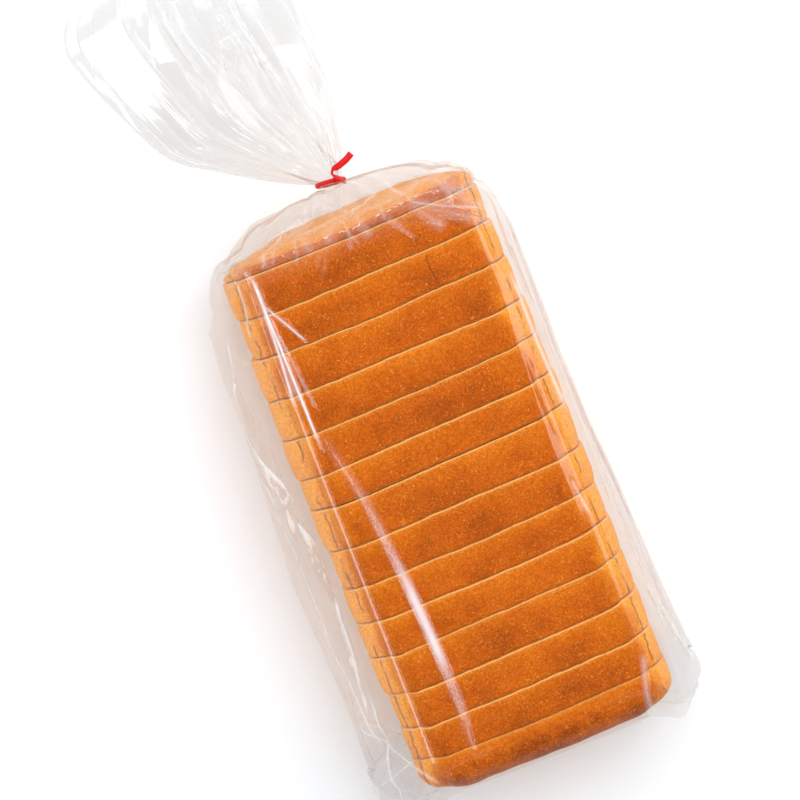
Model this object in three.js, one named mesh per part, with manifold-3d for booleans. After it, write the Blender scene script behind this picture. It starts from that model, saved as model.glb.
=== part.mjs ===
// A sliced tin loaf in a clear bag whose neck is gathered and closed with a red twist tie.
// Millimetres. The loaf lies on its flat base at z = 0, runs along Y, and the tied neck points to +Y.
// The bag with its contents is one solid out to the film. The tie is the other solid.
import * as THREE from "three";
import { mergeVertices } from "three/addons/utils/BufferGeometryUtils.js";
import Module from "manifold-3d";

const wasm = await Module();
wasm.setup();

// The loaf and how its slices lean
const LOAF_WIDTH = 118;
const LOAF_HEIGHT = 113;
const LOAF_LENGTH = 243;
const SLICE_PITCH = 17;
const SLICE_STEP = 0.8;
const LEAN = Math.tan(THREE.MathUtils.degToRad(6));

// The film round the loaf
const FILM_CLEARANCE = 1;
const SLACK_LEFT = 17;
const SLACK_RIGHT = 8;
const SLACK_HEIGHT = 46;
const SLACK_SPREAD = 34;
const END_ROUNDING = 16;
const EAR_THICKNESS = 2.4;
const LEFT_EAR_HEIGHT = 20;
const RIGHT_EAR_HEIGHT = 30;
const SHOULDER_START = 103;
const SHOULDER_DEPTH = 33;
const SHOULDER_FOLDS = 9;
const FOLD_DEPTH = 1.6;

// The neck, the tie round it and the fan of film beyond
const NECK = new THREE.Vector3(-1.3, 136.5, 62);
const NECK_HALF_WIDTH = 5.6;
const NECK_HALF_HEIGHT = 4.8;
const NECK_HALF_LENGTH = 3.4;
const TIE_CLEARANCE = 0.65;
const TIE_WIDTH = 3.4;
const TIE_THICKNESS = 1;
const TIE_KNOT_ANGLE = THREE.MathUtils.degToRad(52);
const TIE_TWIST_LENGTH = 3;
const TIE_TURNS = 0.8;
const TAIL_DROOP = 9;
const TAIL_PLEATS = 9;
const PLEAT_DEPTH = 4.2;
const TAIL_HALF_THICKNESS = 2.4;
const MOUTH_WAVE = 8;
const MOUTH_CREST = -0.7;

// How finely the surfaces are divided
const AROUND = 52;
const END_RINGS = 5;
const RINGS_PER_SLICE = 2;
const SHOULDER_RINGS = 12;
const NECK_RINGS = 3;
const TAIL_ACROSS = 54;
const TAIL_ALONG = 12;

const clearFilm = new THREE.MeshStandardMaterial({
  name: "clear_film",
  color: 0xdedbdc,
  roughness: 0.15,
  metalness: 0,
});
const redPlastic = new THREE.MeshStandardMaterial({
  name: "red_tie",
  color: 0xd8121c,
  roughness: 0.4,
  metalness: 0,
});

/** A closed three.js geometry as a manifold solid. */
function solid(geometry) {
  geometry.deleteAttribute("normal");
  geometry.deleteAttribute("uv");
  const merged = mergeVertices(geometry, 1e-4);
  return new wasm.Manifold(
    new wasm.Mesh({
      numProp: 3,
      vertProperties: new Float32Array(merged.attributes.position.array),
      triVerts: new Uint32Array(merged.index.array),
    }),
  );
}

/** A named mesh from a manifold solid. */
function meshOf(name, shape, material) {
  const { vertProperties, triVerts } = shape.getMesh();
  const geometry = new THREE.BufferGeometry();
  geometry.setAttribute("position", new THREE.BufferAttribute(vertProperties, 3));
  geometry.setIndex(new THREE.BufferAttribute(triVerts, 1));
  geometry.computeVertexNormals();
  const mesh = new THREE.Mesh(geometry, material);
  mesh.name = name;
  return mesh;
}

/** Moves every vertex of a geometry to where place(x, y, z) says. */
function reshape(geometry, place) {
  const position = geometry.attributes.position;
  for (let i = 0; i < position.count; i++) {
    const to = place(position.getX(i), position.getY(i), position.getZ(i));
    position.setXYZ(i, to.x, to.y, to.z);
  }
  return geometry;
}

/** Signed power that turns a circle's cosine or sine into a rounded rectangle's. */
function squared(value, power) {
  return Math.abs(value) < 1e-6 ? 0 : Math.sign(value) * Math.abs(value) ** power;
}

const bell = (distance, spread) => Math.exp(-((distance / spread) ** 2));

/** Rings of the rounded near end: y and how far the section is drawn in. */
function endRings() {
  return Array.from({ length: END_RINGS }, (_, i) => {
    const turn = ((i / END_RINGS) * Math.PI) / 2;
    return {
      y: -LOAF_LENGTH / 2 - FILM_CLEARANCE + END_ROUNDING * (1 - Math.cos(turn)),
      inset: END_ROUNDING * (1 - Math.sin(turn)),
      power: 0.42,
    };
  });
}

/** Rings of the straight body, two to a slice, so that each slice's cut edge stands a little proud. */
function bodyRings() {
  const start = -LOAF_LENGTH / 2 - FILM_CLEARANCE + END_ROUNDING;
  const count = Math.round(((SHOULDER_START - start) / SLICE_PITCH) * RINGS_PER_SLICE);
  return Array.from({ length: count }, (_, i) => ({
    y: start + ((SHOULDER_START - start) * i) / count,
    inset: i % RINGS_PER_SLICE ? SLICE_STEP : 0,
    power: 0.38,
  }));
}

/** Rings from the full section over the far end to the neck, round as a quarter ellipse in plan. */
function shoulderRings() {
  return Array.from({ length: SHOULDER_RINGS }, (_, i) => {
    const turn = ((1 - i / SHOULDER_RINGS) * Math.PI) / 2;
    return {
      y: SHOULDER_START + SHOULDER_DEPTH * Math.cos(turn),
      close: 1 - Math.sin(turn) ** 0.85,
      power: THREE.MathUtils.lerp(1, 0.38, Math.sin(turn)),
    };
  });
}

/** Rings of the straight gathered neck. */
function neckRings() {
  return Array.from({ length: NECK_RINGS + 1 }, (_, i) => ({
    y: NECK.y + NECK_HALF_LENGTH * ((2 * i) / NECK_RINGS - 1),
    close: 1,
    power: 1,
  }));
}

/** A point of a ring of the bag: angle 0 is its right side and a quarter turn its top. */
function ringPoint({ y, inset = 0, close = 0, power }, angle, reach) {
  const across = squared(Math.cos(angle), power);
  const up = squared(Math.sin(angle), power);
  const loafHalf = new THREE.Vector3(
    LOAF_WIDTH / 2 + FILM_CLEARANCE - inset,
    0,
    LOAF_HEIGHT / 2 + FILM_CLEARANCE - inset,
  );
  const x = THREE.MathUtils.lerp(loafHalf.x * across, NECK.x + NECK_HALF_WIDTH * across, close);
  const high = LOAF_HEIGHT / 2 + loafHalf.z * up;
  const z = THREE.MathUtils.lerp(high, NECK.z + NECK_HALF_HEIGHT * up, close);
  const slack = across < 0 ? SLACK_LEFT : SLACK_RIGHT;
  const loose = (1 - close) * (1 - inset / END_ROUNDING) * bell(z - SLACK_HEIGHT, SLACK_SPREAD);
  const fold = close * (1 - close) * 4 * FOLD_DEPTH * Math.cos(SHOULDER_FOLDS * angle);
  return new THREE.Vector3(
    THREE.MathUtils.lerp(NECK.x * close, x + across * slack * loose, reach),
    y - (1 - close) * LEAN * (z - LOAF_HEIGHT / 2) + fold,
    Math.max(0, THREE.MathUtils.lerp(THREE.MathUtils.lerp(LOAF_HEIGHT / 2, NECK.z, close), z, reach)),
  );
}

/** The filled bag from its closed near end to its neck: a cylinder whose rings are reshaped. */
function filledBag() {
  const rings = [...endRings(), ...bodyRings(), ...shoulderRings(), ...neckRings()];
  const last = rings.length - 1;
  const cylinder = new THREE.CylinderGeometry(1, 1, 1, AROUND, last);
  return reshape(cylinder, (x, y, z) => {
    const ring = rings[Math.round((0.5 + y) * last)];
    return ringPoint(ring, Math.atan2(z, x), Math.round(Math.hypot(x, z)));
  });
}

// The two long edges of the tail in plan, from the neck to the mouth.
const tailLeft = new THREE.SplineCurve([
  new THREE.Vector2(-5, 2.4),
  new THREE.Vector2(-18, 6),
  new THREE.Vector2(-32, 15),
  new THREE.Vector2(-48, 25),
  new THREE.Vector2(-64, 45),
  new THREE.Vector2(-77, 68),
  new THREE.Vector2(-86, 94),
]);
const tailRight = new THREE.SplineCurve([
  new THREE.Vector2(5, 2.4),
  new THREE.Vector2(8, 8),
  new THREE.Vector2(13.5, 23),
  new THREE.Vector2(17, 43),
  new THREE.Vector2(17.5, 60),
  new THREE.Vector2(17, 77),
  new THREE.Vector2(16, 94),
]);

/** The flattened, pleated fan of film beyond the tie: a box whose layers are reshaped. */
function tail() {
  const box = new THREE.BoxGeometry(2, 1, 2, TAIL_ACROSS, TAIL_ALONG, 1);
  return reshape(box, (across, y, side) => {
    const along = y + 0.5;
    const left = tailLeft.getPoint(along);
    const right = tailRight.getPoint(along);
    const plan = left.lerp(right, (across + 1) / 2);
    plan.y += MOUTH_WAVE * along ** 2 * Math.cos(Math.PI * (across - MOUTH_CREST));
    const spread = Math.sin((Math.PI / 2) * along) ** 0.7;
    const pleat = PLEAT_DEPTH * spread * Math.cos(TAIL_PLEATS * Math.PI * across);
    const half = THREE.MathUtils.lerp(NECK_HALF_HEIGHT * 0.8, TAIL_HALF_THICKNESS, spread);
    const round = Math.sqrt(1 - 0.75 * across ** 2);
    const z = NECK.z - TAIL_DROOP * along ** 2 + pleat * round + side * half * round;
    return new THREE.Vector3(NECK.x + plan.x, NECK.y + plan.y, z);
  });
}

/** A crumpled corner of the bag's bottom seam: a flat three-cornered flap that stands out of the film. */
function ear(root, tips, thickness) {
  const outline = new THREE.Shape();
  outline.moveTo(root[0].x, root[0].y);
  tips.forEach((tip) => outline.lineTo(tip.x, tip.y));
  outline.lineTo(root[1].x, root[1].y);
  outline.closePath();
  return new THREE.ExtrudeGeometry(outline, {
    depth: thickness,
    bevelSize: 0.8,
    bevelThickness: 0.8,
    bevelSegments: 2,
  });
}

const leftEar = ear(
  [new THREE.Vector2(-56, -82), new THREE.Vector2(-46, -122)],
  [
    new THREE.Vector2(-75, -93),
    new THREE.Vector2(-71, -105),
    new THREE.Vector2(-77, -117),
    new THREE.Vector2(-73, -133),
    new THREE.Vector2(-57, -130),
  ],
  EAR_THICKNESS,
).translate(0, 0, LEFT_EAR_HEIGHT);
const rightEar = ear(
  [new THREE.Vector2(44, -118), new THREE.Vector2(54, -92)],
  [new THREE.Vector2(59, -126), new THREE.Vector2(65, -123), new THREE.Vector2(69, -113)],
  EAR_THICKNESS,
).translate(0, 0, RIGHT_EAR_HEIGHT);

/** The tie's band: a flat ring round the neck, as oval as the neck is. */
function tieBand() {
  const inner = NECK_HALF_WIDTH + TIE_CLEARANCE;
  const profile = [
    new THREE.Vector2(inner, -TIE_WIDTH / 2),
    new THREE.Vector2(inner + TIE_THICKNESS, -TIE_WIDTH / 2),
    new THREE.Vector2(inner + TIE_THICKNESS, TIE_WIDTH / 2),
    new THREE.Vector2(inner, TIE_WIDTH / 2),
    new THREE.Vector2(inner, -TIE_WIDTH / 2),
  ];
  const flatten = (NECK_HALF_HEIGHT + TIE_CLEARANCE) / inner;
  return new THREE.LatheGeometry(profile, 36).scale(1, 1, flatten);
}

/** One of the tie's two ends: it winds round the other, then runs free in its own direction. */
function tieEnd(phase, free) {
  const start = new THREE.Vector3(
    (NECK_HALF_WIDTH + TIE_CLEARANCE + TIE_THICKNESS / 2) * Math.cos(TIE_KNOT_ANGLE),
    0,
    (NECK_HALF_HEIGHT + TIE_CLEARANCE + TIE_THICKNESS / 2) * Math.sin(TIE_KNOT_ANGLE),
  );
  const axis = new THREE.Vector3(0.45, 0.1, 0.9).normalize();
  const side = new THREE.Vector3(0, 1, 0).cross(axis).normalize();
  const upright = axis.clone().cross(side);
  const points = Array.from({ length: 6 }, (_, i) => {
    const turn = phase + (2 * Math.PI * TIE_TURNS * i) / 5;
    return start
      .clone()
      .addScaledVector(axis, (TIE_TWIST_LENGTH * i) / 5)
      .addScaledVector(side, 0.6 * Math.cos(turn))
      .addScaledVector(upright, 0.6 * Math.sin(turn));
  });
  points.push(points[5].clone().add(free.clone().multiplyScalar(0.5)));
  points.push(points[5].clone().add(free));
  const section = new THREE.Shape();
  section.absellipse(0, 0, TIE_THICKNESS / 2, TIE_WIDTH * 0.4, 0, 2 * Math.PI);
  return new THREE.ExtrudeGeometry(section, {
    curveSegments: 5,
    steps: 22,
    extrudePath: new THREE.CatmullRomCurve3(points),
  });
}

const bag = solid(filledBag()).add(solid(tail())).add(solid(leftEar)).add(solid(rightEar));
const tie = solid(tieBand())
  .add(solid(tieEnd(0, new THREE.Vector3(8, 4, 3))))
  .add(solid(tieEnd(Math.PI, new THREE.Vector3(3.5, -1.5, 1))));
const tieMesh = meshOf("twist_tie", tie, redPlastic);
tieMesh.position.copy(NECK);

const loafInBag = new THREE.Group();
loafInBag.add(meshOf("bread_bag", bag, clearFilm), tieMesh);

export default loafInBag;
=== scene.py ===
import math
import random

import bmesh
import bpy
import numpy
from mathutils import Matrix, Vector, noise
from mathutils.bvhtree import BVHTree


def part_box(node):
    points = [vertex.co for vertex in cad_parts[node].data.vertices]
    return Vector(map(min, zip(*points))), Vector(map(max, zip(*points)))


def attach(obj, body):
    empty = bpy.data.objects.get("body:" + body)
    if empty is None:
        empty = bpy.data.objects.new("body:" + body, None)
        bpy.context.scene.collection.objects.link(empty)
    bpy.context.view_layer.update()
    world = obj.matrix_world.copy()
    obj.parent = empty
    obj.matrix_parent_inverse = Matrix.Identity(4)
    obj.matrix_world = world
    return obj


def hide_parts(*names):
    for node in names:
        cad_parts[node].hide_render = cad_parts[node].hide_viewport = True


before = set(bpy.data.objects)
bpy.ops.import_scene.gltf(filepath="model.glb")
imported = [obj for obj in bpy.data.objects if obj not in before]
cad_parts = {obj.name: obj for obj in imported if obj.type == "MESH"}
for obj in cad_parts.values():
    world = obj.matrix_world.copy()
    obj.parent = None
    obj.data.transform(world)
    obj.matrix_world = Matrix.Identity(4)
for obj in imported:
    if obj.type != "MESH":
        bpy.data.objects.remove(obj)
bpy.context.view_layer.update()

# ---------------------------------------------------------------------------------------------
# The loaf: white dough baked in a lidless tin, then cut into fifteen slices that still stand
# together. The crust is brown on top, paler where the tin held it, and torn along both sides
# where the dough rose past the tin's rim. Each slice is cut from the same outline.
# ---------------------------------------------------------------------------------------------
MM = 0.001
bag_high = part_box("bread_bag")[1]
LOAF_TOP = bag_high[2] - 1.2 * MM
# how far the slices lean back, and how much a cut is turned across the loaf at most
LEAN = math.tan(math.radians(6))
MOST_SKEW = math.radians(2.3)
NEAR_END = -127.3 * MM
SEAM_GAP = 0.32 * MM
SLICE_THICKNESS = (17.2, 15.1, 15.9, 17.5, 15.9, 16.1, 17.1, 19.2, 14.5, 18.0, 17.1, 18.9, 17.7, 17.4, 16.2)
WIDE_GAP_AT = 8
WIDE_GAP_TIMES = 2.6
# the far heel: its thin top edge, how far it domes out below, how far at most, its least thickness,
# and how far it stays inside the form that the film is laid over
FAR_EDGE = 113.6 * MM
FAR_DOME = 15.5 * MM
FAR_SKEW = 0.075
FAR_LIMIT = 127.5 * MM
THINNEST_HEEL = 3.6 * MM
HEEL_INSET = 1.0 * MM
# rounding radii: the baked edge of each heel, and the two edges that the knife leaves on a slice
NEAR_HEEL_ROUND = 10 * MM
FAR_HEEL_ROUND = 6 * MM
CUT_ROUND_NEAR = 0.7 * MM
CUT_ROUND_FAR = 0.55 * MM
# the loaf bulges in the middle and its far end sits to the left: y, middle, width factor
BULGE = ((-127, -0.1, 1.005), (-90, -0.1, 1.008), (-20, -1.0, 1.025), (45, -1.4, 1.04), (95, -2.3, 1.012),
         (125, -2.4, 1.0))

# half of the outline from the middle of the base to the middle of the top: x, z, corner radius
HALF_OUTLINE = (
    (0, 0, 0),
    (55.5, 0, 6),
    (57.5, 45, 0),
    (59, 80, 12),
    (57.5, 95, 8),
    (51.8, 102.5, 0),
    (50.3, 103, 0),
    (50, 105.5, 1),
    (46, 111.5, 5),
    (22, 113.2, 0),
    (0, 113.5, 0),
)
OUTLINE_HEIGHT = 113.5
HALF_WIDTH = 58 * MM
# how fine the meshes are: points along the outline, rings along a slice, and which rims get few steps
SURFACE_STEP = 2.4 * MM
RING_STEP = 2 * MM
FINE_ROUND = 2 * MM


def seam(index, x, z):
    """Where the cut number index runs at x and z: a little skewed, leaning and uneven."""
    skew = MOST_SKEW * math.sin(math.pi * min(1, max(0, (index + 0.2) / 14.6))) ** 0.5
    waver = 0.9 * MM * noise.noise(Vector((x * 22, index * 7.3, z * 14)))
    waver += 0.35 * MM * noise.noise(Vector((x * 150, index * 3.1, z * 130)))
    along = NEAR_END + LEAN * LOAF_TOP / 2 + sum(SLICE_THICKNESS[:index]) * MM
    return along + skew * x - LEAN * (z - LOAF_TOP / 2) + waver


def bulged(x, y):
    """A place across the loaf, moved as the loaf bulges and bends at y."""
    places, middles, widths = zip(*BULGE)
    middle = numpy.interp(y / MM, places, middles)
    wider = numpy.interp(y / MM, places, widths)
    return x * wider + middle * MM


def far_end_face(x, z):
    """How far the far heel reaches: it domes out below its thin top edge and rounds off sideways."""
    dome = FAR_DOME * (1 - math.exp(-(LOAF_TOP - z) / (24 * MM)))
    face = FAR_EDGE + FAR_SKEW * max(0, x) + dome * (1 - 0.85 * (abs(x) / (60 * MM)) ** 3.2)
    return max(seam(len(SLICE_THICKNESS) - 1, x, z) + THINNEST_HEEL, min(face, FAR_LIMIT))


def outline_face(bm):
    """The outline as one face at y = 0, its corners rounded and its edges cut short."""
    scale = LOAF_TOP / (OUTLINE_HEIGHT * MM)
    right = [Vector((x * MM, 0, z * MM * scale)) for x, z, radius in HALF_OUTLINE]
    left = [Vector((-p.x, 0, p.z)) for p in reversed(right[1:-1])]
    radii = [radius for x, z, radius in HALF_OUTLINE]
    radii += list(reversed(radii[1:-1]))
    corners = [bm.verts.new(p) for p in right + left]
    bm.faces.new(corners)
    for corner, radius in zip(corners, radii):
        if radius:
            bmesh.ops.bevel(bm, geom=[corner], offset=radius * MM * 0.6, segments=5, profile=0.5,
                            affect="VERTICES", material=-1)
    for edge in list(bm.edges):
        cuts = int(edge.calc_length() / SURFACE_STEP)
        if cuts:
            bmesh.ops.subdivide_edges(bm, edges=[edge], cuts=cuts)
    bm.faces.ensure_lookup_table()
    return bm.faces[0]


def rounded_rim(radius, outwards):
    """Rings (y from the face, inset) of a quarter-round rim and the flat face inside it."""
    steps = 8 if radius > FINE_ROUND else 2
    turns = [math.pi / 2 * i / steps for i in range(steps + 1)]
    rings = [(radius * (1 - math.sin(t)), radius * (1 - math.cos(t))) for t in turns]
    rings += [(0, radius + inner * MM) for inner in (2, 9, 22, 38)]
    return rings if outwards else list(reversed(rings))


def slice_blank(thickness, near_round, far_round):
    """A slice from y = 0 to y = thickness: the outline extruded ring by ring, in over both rims."""
    bm = bmesh.new()
    face = outline_face(bm)
    near = rounded_rim(near_round, False)
    far = [(thickness - y, inset) for y, inset in rounded_rim(far_round, True)]
    walls = int((far[0][0] - near[-1][0]) / RING_STEP)
    body = [(near[-1][0] + (far[0][0] - near[-1][0]) * i / walls, 0) for i in range(1, walls)]
    at_y, at_scale = 0, 1
    for step, (y, inset) in enumerate(near + body + far):
        if step:
            face = bmesh.ops.extrude_discrete_faces(bm, faces=[face])["faces"][0]
        scale = 1 - inset / HALF_WIDTH
        bmesh.ops.translate(bm, verts=face.verts, vec=(0, y - at_y, 0))
        bmesh.ops.scale(bm, verts=face.verts, vec=(scale / at_scale, 1, scale / at_scale),
                        space=Matrix.Translation((0, 0, -LOAF_TOP / 2)))
        at_y, at_scale = y, scale
    bmesh.ops.holes_fill(bm, edges=[e for e in bm.edges if e.is_boundary])
    bmesh.ops.poke(bm, faces=[f for f in bm.faces if len(f.verts) > 4])
    bmesh.ops.recalc_face_normals(bm, faces=bm.faces)
    return bm


def show_crumb(bm, thickness, heel):
    """Gives the cut faces the crumb's material, and a thin rim too where the knife came out."""
    rim = 0.12 * MM if heel == "near" else 0.4 * MM
    for face in bm.faces:
        y = face.calc_center_median().y
        near_cut = y < 0.12 * MM and heel != "near"
        far_cut = y > thickness - rim and heel != "far"
        face.material_index = 1 if near_cut or far_cut else 0


def loaf_slice(name, index, near_round, far_round, heel=None):
    """One slice, cut between two seams, with its crust wrinkled and its edges frayed."""
    thickness = SLICE_THICKNESS[index] * MM
    bm = slice_blank(thickness, near_round, far_round)
    show_crumb(bm, thickness, heel)
    across = bm.verts.layers.float.new("across")
    end_crust = bm.verts.layers.float.new("end_crust")
    slice_tone = bm.verts.layers.float.new("slice_tone")
    rng = random.Random(40 + index)
    shift = rng.uniform(-0.7, 0.7) * MM
    middle_y = NEAR_END + (sum(SLICE_THICKNESS[:index]) + SLICE_THICKNESS[index] / 2) * MM
    widen = rng.uniform(0.992, 1.006)
    raise_by = rng.uniform(-0.7, 0.2) * MM
    tone = rng.uniform(-0.05, 0.05)
    near_gap = SEAM_GAP * (WIDE_GAP_TIMES if index == WIDE_GAP_AT else 1)
    for v in bm.verts:
        part = v.co.y / thickness
        x, z = bulged(v.co.x * widen + shift, middle_y), v.co.z
        z += raise_by * z / LOAF_TOP
        near = seam(index, x, z) + near_gap / 2
        far = seam(index + 1, x, z) - SEAM_GAP / 2
        if heel == "far":
            far = far_end_face(x, z) - HEEL_INSET
        y = near + (far - near) * part
        here = Vector((x, y, z))
        swell = noise.fractal(here * 28, 1, 2, 3) * 0.7 * MM
        ripple = noise.fractal(here * 210, 1, 2, 2) * 0.22 * MM
        on_side = min(1, abs(v.co.x) / (50 * MM))
        v[across] = part
        v[slice_tone] = tone
        v[end_crust] = 1 - part if heel == "near" else part if heel == "far" else 0
        if z > 2 * MM:
            drawn_in = (0.9 * (1 - part) ** 9 + 0.3 * part ** 9) * MM
            x += math.copysign(1, v.co.x) * on_side * (swell + ripple - drawn_in)
            z += (1 - on_side) * (swell + ripple)
        v.co = (x, y, max(0.6 * MM, z))
    bmesh.ops.recalc_face_normals(bm, faces=bm.faces)
    return piece_from(bm, name, (crust, crumb))


def piece_from(bm, name, materials):
    """A finished bmesh as a smooth mesh object at the origin, with its materials."""
    mesh = bpy.data.meshes.new(name)
    bm.to_mesh(mesh)
    bm.free()
    for material in materials:
        mesh.materials.append(material)
    mesh.polygons.foreach_set("use_smooth", [True] * len(mesh.polygons))
    piece = bpy.data.objects.new(name, mesh)
    bpy.context.scene.collection.objects.link(piece)
    return piece


def linear(code):
    """An sRGB hex colour as linear RGBA."""
    parts = [int(code[i:i + 2], 16) / 255 for i in (1, 3, 5)]
    return [c / 12.92 if c <= 0.04045 else ((c + 0.055) / 1.055) ** 2.4 for c in parts] + [1]


def add(tree, kind, inputs=None, stops=(), **settings):
    """A node with its settings and ramp stops. Each input is a value, or a node or socket to link."""
    made = tree.nodes.new("ShaderNode" + kind)
    for name, value in settings.items():
        setattr(made, name, value)
    for name, value in (inputs or {}).items():
        if isinstance(value, bpy.types.Node):
            value = value.outputs[0]
        if isinstance(value, bpy.types.NodeSocket):
            tree.links.new(value, made.inputs[name])
        else:
            made.inputs[name].default_value = value
    while stops and len(made.color_ramp.elements) < len(stops):
        made.color_ramp.elements.new(0.5)
    for i, (position, code) in enumerate(stops):
        made.color_ramp.elements[i].position = position
        made.color_ramp.elements[i].color = linear(code)
    return made


def new_material(name):
    """An empty node material and its tree."""
    material = bpy.data.materials.new(name)
    material.use_nodes = True
    material.node_tree.nodes.clear()
    return material, material.node_tree


SOFT = {"interpolation_type": "SMOOTHSTEP"}
# sizes of what the crust shows; the real grain is about a third as coarse, too fine to show
HEAT_PATCH = 23.8 * MM
BLOTCH = 4.76 * MM
LUMP = 3.57 * MM
FIBRE = 2.08 * MM
PIT = 1.61 * MM
SPOT = 1.02 * MM
GRAIN = 0.87 * MM
# where the crust tore, off the middle, and where the tear begins to show above the base
TORN_FROM = 53.4 * MM
TORN_TO = 56.0 * MM
TORN_FOOT = 84 * MM
# the crack across the second slice from the far end
CRACK_FROM = 24 * MM
CRACK_TO = 26.6 * MM


def how_baked_and_lit(tree, place, side, height, across, end_crust):
    """How brown the crust is, from 0 to 1: most on top, less down the walls and at the far end. Each slice is
    also drawn paler towards its far edge, which is painted light.
    """
    y = add(tree, "SeparateXYZ", {0: place}).outputs["Y"]
    patches = add(tree, "TexNoise", {"Vector": place, "Scale": 1 / HEAT_PATCH, "Detail": 4.0,
                                     "Roughness": 0.6})
    uneven = add(tree, "MapRange", {0: patches, 1: 0.3, 2: 0.7, 3: -4 * MM, 4: 4 * MM}, **SOFT)
    edge = add(tree, "Math", {0: side, 1: uneven})
    top = add(tree, "MapRange", {0: edge, 1: 44 * MM, 2: 58 * MM, 3: 0.8, 4: 0.0}, **SOFT)
    patchy = add(tree, "MapRange", {0: patches, 1: 0.3, 2: 0.7, 3: -0.1, 4: 0.1}, **SOFT)
    baked_and_lit = add(tree, "Math", {0: top, 1: height, 2: patchy}, operation="MULTIPLY_ADD")
    tone = add(tree, "Attribute", attribute_name="slice_tone").outputs["Fac"]
    baked_and_lit = add(tree, "Math", {0: baked_and_lit, 1: tone})
    # painted light: each slice's top is drawn paler towards its far edge, as if that edge faced the lamp
    painted_light_to_far_edge = add(tree, "MapRange", {0: across, 1: 0.35, 2: 1.0, 3: 0.03, 4: -0.17}, **SOFT)
    baked_and_lit = add(tree, "Math", {0: baked_and_lit, 1: painted_light_to_far_edge})

    # the near heel is darker and blotched, the far heel pale
    near_end = add(tree, "MapRange", {0: y, 1: 0.0, 2: -60 * MM}, **SOFT)
    blotches = add(tree, "TexNoise", {"Vector": place, "Scale": 1 / BLOTCH, "Detail": 4.0, "Roughness": 0.65})
    darker = add(tree, "MapRange", {0: blotches, 1: 0.34, 2: 0.66, 3: 0.06, 4: 0.2}, **SOFT)
    on_end = add(tree, "MapRange", {0: end_crust, 1: 0.0, 2: 0.5}, **SOFT)
    darker = add(tree, "Math", {0: darker, 1: on_end}, operation="MULTIPLY")
    baked_and_lit = add(tree, "Math", {0: darker, 1: near_end, 2: baked_and_lit}, operation="MULTIPLY_ADD")
    far_face = add(tree, "MapRange", {0: end_crust, 1: 0.86, 2: 0.98}, **SOFT)
    far_end = add(tree, "MapRange", {0: near_end, 1: 1.0, 2: 0.0, 3: 0.0, 4: -0.6}, **SOFT)
    return add(tree, "Math", {0: far_face, 1: far_end, 2: baked_and_lit}, operation="MULTIPLY_ADD", use_clamp=True)


def torn_crust(tree, place, side, height):
    """Where the crust is open, from 0 to 1: the broken torn line inside both walls, and a short crack."""
    x, y, z = add(tree, "SeparateXYZ", {0: place}).outputs
    ragged = add(tree, "TexNoise", {"Vector": place, "Scale": 1 / (20.8 * MM), "Detail": 4.0,
                                    "Roughness": 0.66})
    torn_at = add(tree, "MapRange", {0: ragged, 1: 0.3, 2: 0.7, 3: TORN_FROM, 4: TORN_TO})
    off_line = add(tree, "Math", {0: side, 1: torn_at}, operation="SUBTRACT")
    off_line = add(tree, "Math", {0: off_line}, operation="ABSOLUTE")
    line = add(tree, "MapRange", {0: off_line, 1: 0.6 * MM, 2: 0.1 * MM}, **SOFT)
    broken = add(tree, "TexNoise", {"Vector": place, "Scale": 1 / (16.1 * MM), "Detail": 2.0})
    broken = add(tree, "MapRange", {0: broken, 1: 0.42, 2: 0.52}, **SOFT)
    torn = add(tree, "Math", {0: line, 1: broken}, operation="MULTIPLY")
    foot = add(tree, "MapRange", {0: z, 1: TORN_FOOT, 2: TORN_FOOT + 8 * MM}, **SOFT)
    torn = add(tree, "Math", {0: torn, 1: foot}, operation="MULTIPLY")

    crack_at = add(tree, "MapRange", {0: ragged, 1: 0.3, 2: 0.7, 3: CRACK_FROM, 4: CRACK_TO})
    off_crack = add(tree, "Math", {0: x, 1: crack_at}, operation="SUBTRACT")
    off_crack = add(tree, "Math", {0: off_crack}, operation="ABSOLUTE")
    crack = add(tree, "MapRange", {0: off_crack, 1: 0.5 * MM, 2: 0.1 * MM}, **SOFT)
    for start, full in ((76 * MM, 80 * MM), (92 * MM, 91 * MM)):
        inside = add(tree, "MapRange", {0: y, 1: start, 2: full}, **SOFT)
        crack = add(tree, "Math", {0: crack, 1: inside}, operation="MULTIPLY")
    crack = add(tree, "Math", {0: crack, 1: height}, operation="MULTIPLY")
    return add(tree, "Math", {0: torn, 1: crack}, operation="MAXIMUM")


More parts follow.
